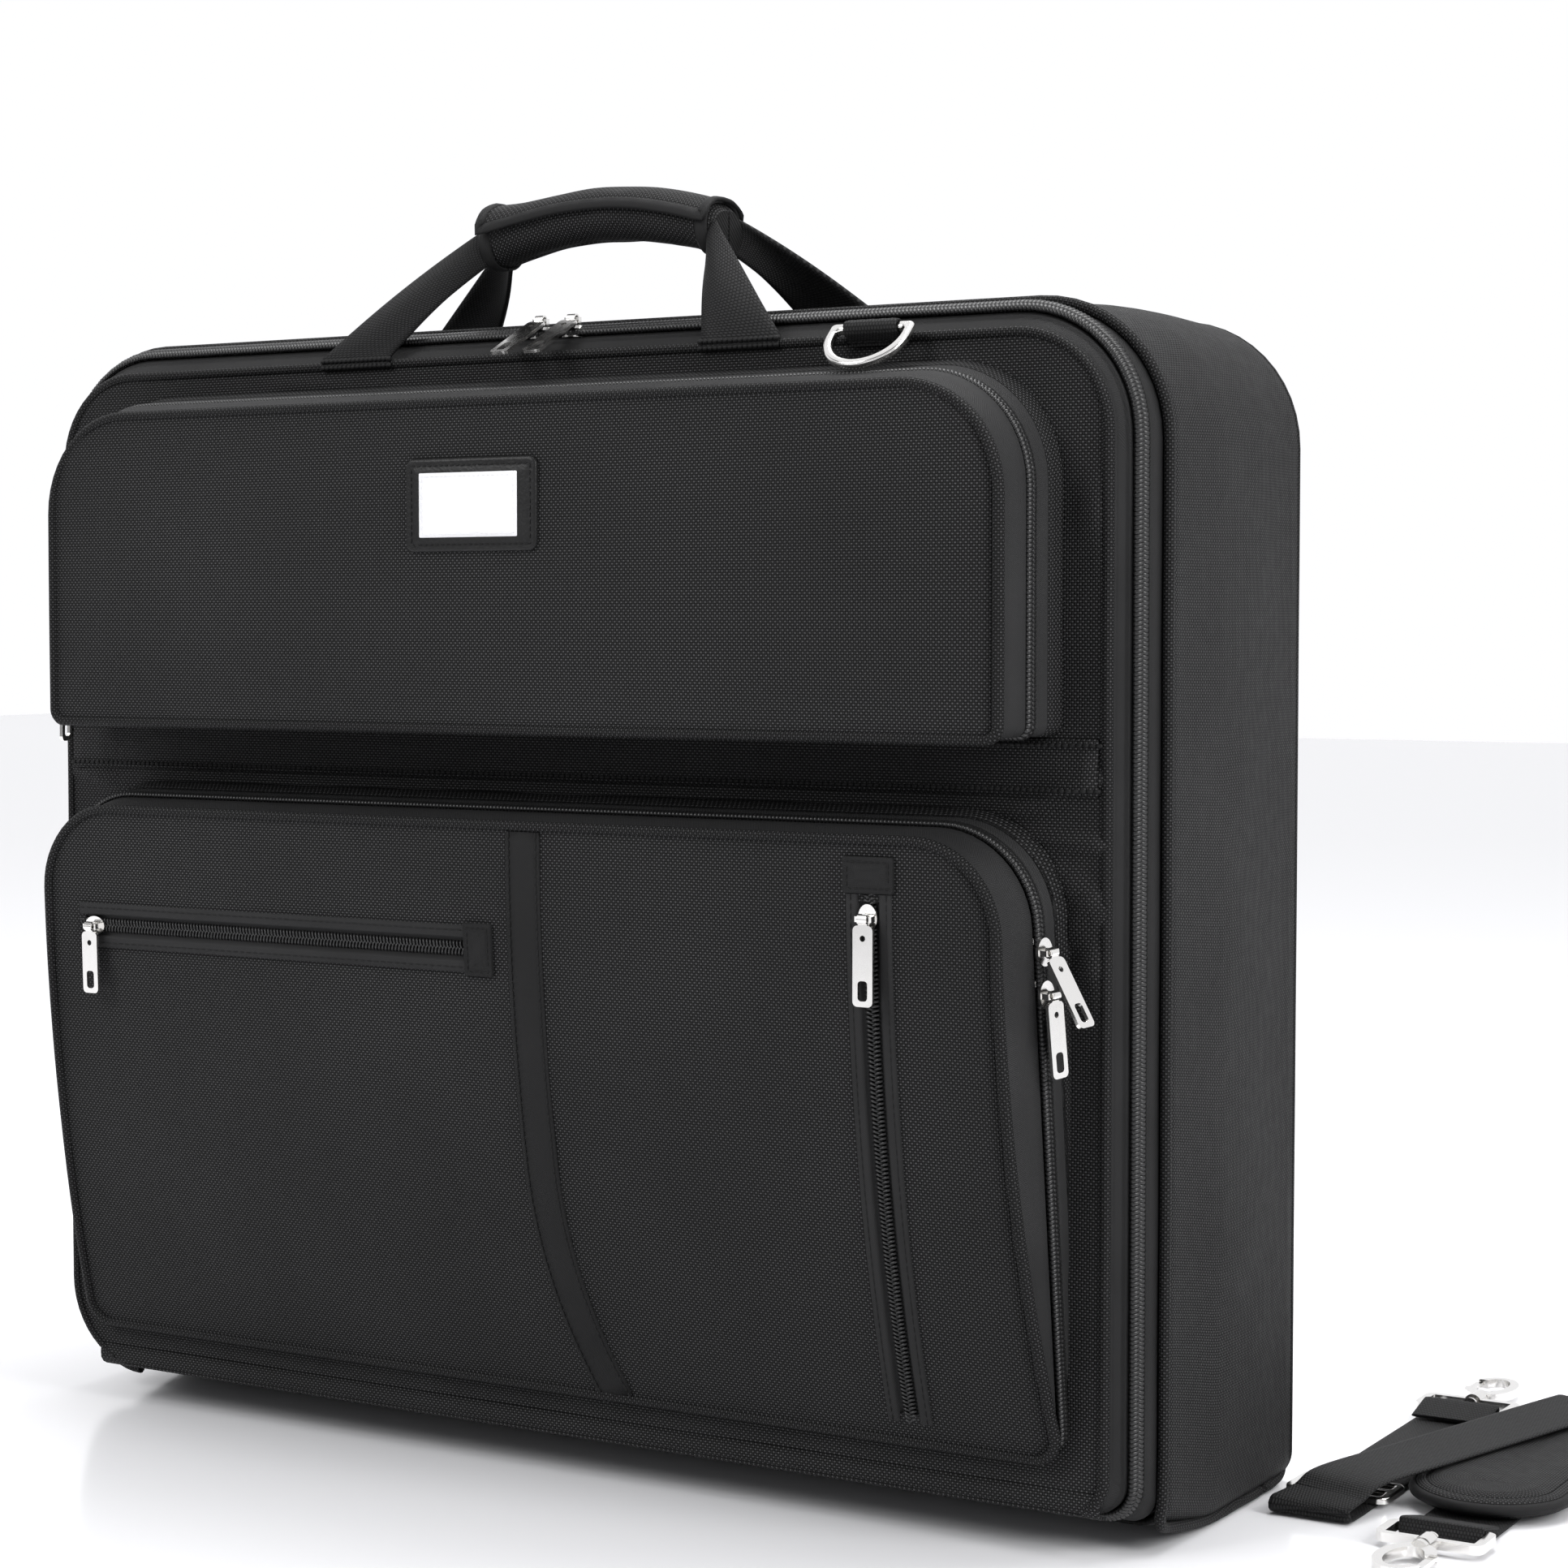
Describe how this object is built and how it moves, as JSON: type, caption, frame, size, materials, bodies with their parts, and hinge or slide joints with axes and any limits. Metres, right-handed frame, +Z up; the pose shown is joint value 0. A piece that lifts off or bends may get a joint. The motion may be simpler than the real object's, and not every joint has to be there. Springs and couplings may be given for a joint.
{
  "type": "garment bag",
  "caption": "Soft-sided bi-fold garment bag with a fold-down front half, two zipped box pockets, a padded carrying handle and a detached padded shoulder strap.",
  "frame": {"origin": "on the floor under the bag's middle, midway across it and midway between the lid's face and the back", "axes": "+X across the bag to its right seen from the front, -Y towards its front, +Z up"},
  "size_m": [0.774, 0.4366, 0.5972],
  "materials": {
    "ballistic_fabric": "black ballistic nylon in a basket weave",
    "piping_fabric": "black woven binding",
    "zipper_tape": "black herringbone tape with nylon coil",
    "smooth_trim": "smooth black trim",
    "webbing": "ribbed black webbing",
    "pad_fabric": "padded black fabric",
    "lining_fabric": "thin black lining",
    "stiffener_board": "plain board",
    "black_plastic": "moulded black plastic",
    "patch_leather": "stitched black leather",
    "label_fabric": "blank woven label",
    "brushed_metal": "pressed steel",
    "bright_metal": "polished nickel"
  },
  "bodies": {
    "shell": {"shell_gusset": "ballistic_fabric", "back_panel": "ballistic_fabric", "back_stiffener": "stiffener_board", "shell_lining": "lining_fabric", "shell_piping": "piping_fabric", "main_shell_stringer": "zipper_tape", "hinge_strip": "zipper_tape", "hanger_bracket": "brushed_metal", "garment_strap": "webbing", "garment_strap_buckles": "black_plastic", "rear_handle_webbing": "webbing", "rear_grip_pad": "ballistic_fabric", "left_ring_loop": "webbing"},
    "lid": {"lid_panel": "ballistic_fabric", "main_lid_stringer": "zipper_tape", "lid_piping": "piping_fabric", "lid_stiffener": "stiffener_board", "front_band": "ballistic_fabric", "upper_base_stringer": "zipper_tape", "lower_base_stringer": "zipper_tape", "right_ring_loop": "webbing"},
    "front_handle": {"front_handle_webbing": "webbing", "front_grip_pad": "ballistic_fabric"},
    "grip_flap": {"grip_flap": "ballistic_fabric"},
    "upper_pocket_cover": {"upper_cover_panel": "ballistic_fabric", "upper_cover_stringer": "zipper_tape", "upper_cover_piping": "piping_fabric", "leather_patch": "patch_leather", "blank_label": "label_fabric"},
    "lower_pocket_cover": {"lower_cover_panel": "ballistic_fabric", "lower_cover_stringer": "zipper_tape", "lower_cover_piping": "piping_fabric", "accent_strip": "smooth_trim", "face_zips": "zipper_tape", "zip_end_tabs": "smooth_trim"},
    "right_d_ring": {"right_d_ring": "bright_metal"},
    "left_d_ring": {"left_d_ring": "bright_metal"},
    "hanger_clamp": {"hanger_clamp": "black_plastic"},
    "shoulder_strap": {"strap_webbing": "webbing", "shoulder_pad": "pad_fabric", "strap_rings": "bright_metal"},
    "strap_adjuster": {"strap_adjuster": "bright_metal"},
    "front_snap_hook": {"front_snap_hook": "bright_metal"},
    "back_snap_hook": {"back_snap_hook": "bright_metal"},
    "front_hook_gate": {"front_hook_gate": "bright_metal"},
    "back_hook_gate": {"back_hook_gate": "bright_metal"},
    "main_left_slider": {"main_left_slider": "bright_metal"},
    "main_left_puller": {"main_left_puller": "bright_metal"},
    "main_right_slider": {"main_right_slider": "bright_metal"},
    "main_right_puller": {"main_right_puller": "bright_metal"},
    "upper_pocket_slider": {"upper_pocket_slider": "bright_metal"},
    "upper_pocket_puller": {"upper_pocket_puller": "bright_metal"},
    "lower_pocket_high_slider": {"lower_pocket_high_slider": "bright_metal"},
    "lower_pocket_high_puller": {"lower_pocket_high_puller": "bright_metal"},
    "lower_pocket_low_slider": {"lower_pocket_low_slider": "bright_metal"},
    "lower_pocket_low_puller": {"lower_pocket_low_puller": "bright_metal"},
    "horizontal_zip_slider": {"horizontal_zip_slider": "bright_metal"},
    "horizontal_zip_puller": {"horizontal_zip_puller": "bright_metal"},
    "vertical_zip_slider": {"vertical_zip_slider": "bright_metal"},
    "vertical_zip_puller": {"vertical_zip_puller": "bright_metal"}
  },
  "joints": [
    {"name": "lid_fold", "type": "hinge", "parent": "shell", "child": "lid", "pos_m": [0, -0.069, 0.01], "axis": [1, 0, 0], "range_deg": [0, 180]},
    {"name": "front_handle_swing", "type": "hinge", "parent": "lid", "child": "front_handle", "pos_m": [0, -0.084, 0.52], "axis": [1, 0, 0], "range_deg": [0, 90]},
    {"name": "grip_flap_hinge", "type": "hinge", "parent": "front_handle", "child": "grip_flap", "pos_m": [0, -0.066, 0.5948], "axis": [1, 0, 0], "range_deg": [0, 170]},
    {"name": "upper_pocket_fold", "type": "hinge", "parent": "lid", "child": "upper_pocket_cover", "pos_m": [0, -0.105, 0.349], "axis": [1, 0, 0], "range_deg": [0, 60]},
    {"name": "lower_pocket_fold", "type": "hinge", "parent": "lid", "child": "lower_pocket_cover", "pos_m": [0, -0.086, 0.043], "axis": [1, 0, 0], "range_deg": [0, 60]},
    {"name": "right_d_ring_swing", "type": "hinge", "parent": "lid", "child": "right_d_ring", "pos_m": [0.181, -0.09, 0.522], "axis": [1, 0, 0], "range_deg": [-118, 1]},
    {"name": "left_d_ring_swing", "type": "hinge", "parent": "shell", "child": "left_d_ring", "pos_m": [-0.315, -0.036, 0.366], "axis": [0, 1, 0], "range_deg": [-35, 118]},
    {"name": "hanger_clamp_lever", "type": "hinge", "parent": "shell", "child": "hanger_clamp", "pos_m": [0, 0.0606, 0.5], "axis": [-1, 0, 0], "range_deg": [0, 70]},
    {"name": "main_left_slider_travel", "type": "slide", "parent": "lid", "child": "main_left_slider", "axis": [-1, 0, 0], "range_m": [0, 0.056]},
    {"name": "main_right_slider_travel", "type": "slide", "parent": "lid", "child": "main_right_slider", "axis": [1, 0, 0], "range_m": [0, 0.056]},
    {"name": "upper_pocket_slider_travel", "type": "slide", "parent": "lid", "child": "upper_pocket_slider", "axis": [0, 0, 1], "range_m": [0, 0.06]},
    {"name": "lower_pocket_high_slider_travel", "type": "slide", "parent": "lid", "child": "lower_pocket_high_slider", "axis": [-0.0203, -0.0761, 0.9969], "range_m": [0, 0.004]},
    {"name": "lower_pocket_low_slider_travel", "type": "slide", "parent": "lid", "child": "lower_pocket_low_slider", "axis": [0.0203, 0.0761, -0.9969], "range_m": [0, 0.165]},
    {"name": "horizontal_zip_slider_travel", "type": "slide", "parent": "lower_pocket_cover", "child": "horizontal_zip_slider", "axis": [1, 0, 0], "range_m": [0, 0.21]},
    {"name": "vertical_zip_slider_travel", "type": "hinge", "parent": "lower_pocket_cover", "child": "vertical_zip_slider", "pos_m": [0.202, 0.70258, 0.30079], "axis": [1, 0, 0], "range_deg": [0, 14.6]},
    {"name": "main_left_puller_swing", "type": "hinge", "parent": "main_left_slider", "child": "main_left_puller", "pos_m": [-0.007, -0.069, 0.536], "axis": [-1, 0, 0], "range_deg": [0, 112]},
    {"name": "main_right_puller_swing", "type": "hinge", "parent": "main_right_slider", "child": "main_right_puller", "pos_m": [0.011, -0.069, 0.536], "axis": [-1, 0, 0], "range_deg": [0, 112]},
    {"name": "upper_pocket_puller_swing", "type": "hinge", "parent": "upper_pocket_slider", "child": "upper_pocket_puller", "pos_m": [-0.26985, -0.10638, 0.372], "axis": [-0.2265, 0.974, 0], "range_deg": [0, 150]},
    {"name": "lower_pocket_high_puller_swing", "type": "hinge", "parent": "lower_pocket_high_slider", "child": "lower_pocket_high_puller", "pos_m": [0.27373, -0.10414, 0.26], "axis": [-0.2569, -0.9632, -0.0788], "range_deg": [0, 120]},
    {"name": "lower_pocket_low_puller_swing", "type": "hinge", "parent": "lower_pocket_low_slider", "child": "lower_pocket_low_puller", "pos_m": [0.27409, -0.10277, 0.242], "axis": [-0.2569, -0.9632, -0.0788], "range_deg": [0, 42]},
    {"name": "horizontal_zip_puller_swing", "type": "hinge", "parent": "horizontal_zip_slider", "child": "horizontal_zip_puller", "pos_m": [-0.23, -0.1341, 0.24869], "axis": [-1, 0, 0], "range_deg": [0, 150]},
    {"name": "vertical_zip_puller_swing", "type": "hinge", "parent": "vertical_zip_slider", "child": "vertical_zip_puller", "pos_m": [0.202, -0.13526, 0.27283], "axis": [-1, 0, 0], "range_deg": [0, 150]},
    {"name": "strap_lift_off", "type": "slide", "parent": "shell", "child": "shoulder_strap", "axis": [0, 0, 1], "range_m": [0, 0.3]},
    {"name": "strap_adjuster_travel", "type": "slide", "parent": "shoulder_strap", "child": "strap_adjuster", "axis": [0, 1, 0], "range_m": [0, 0.1]},
    {"name": "front_hook_swivel", "type": "hinge", "parent": "shoulder_strap", "child": "front_snap_hook", "pos_m": [0.4, 0.024, 0.0046], "axis": [0, 1, 0], "continuous": true},
    {"name": "back_hook_swivel", "type": "hinge", "parent": "shoulder_strap", "child": "back_snap_hook", "pos_m": [0.338, 0.23, 0.0046], "axis": [0, 1, 0], "continuous": true},
    {"name": "front_gate_press", "type": "hinge", "parent": "front_snap_hook", "child": "front_hook_gate", "pos_m": [0.4102, -0.0176, 0.0046], "axis": [0, 0, -1], "range_deg": [0, 22], "stiffness_Nm_per_rad": 0.01, "springref_deg": -11.46},
    {"name": "back_gate_press", "type": "hinge", "parent": "back_snap_hook", "child": "back_hook_gate", "pos_m": [0.3278, 0.2716, 0.0046], "axis": [0, 0, -1], "range_deg": [0, 22], "stiffness_Nm_per_rad": 0.01, "springref_deg": -11.46}
  ]
}
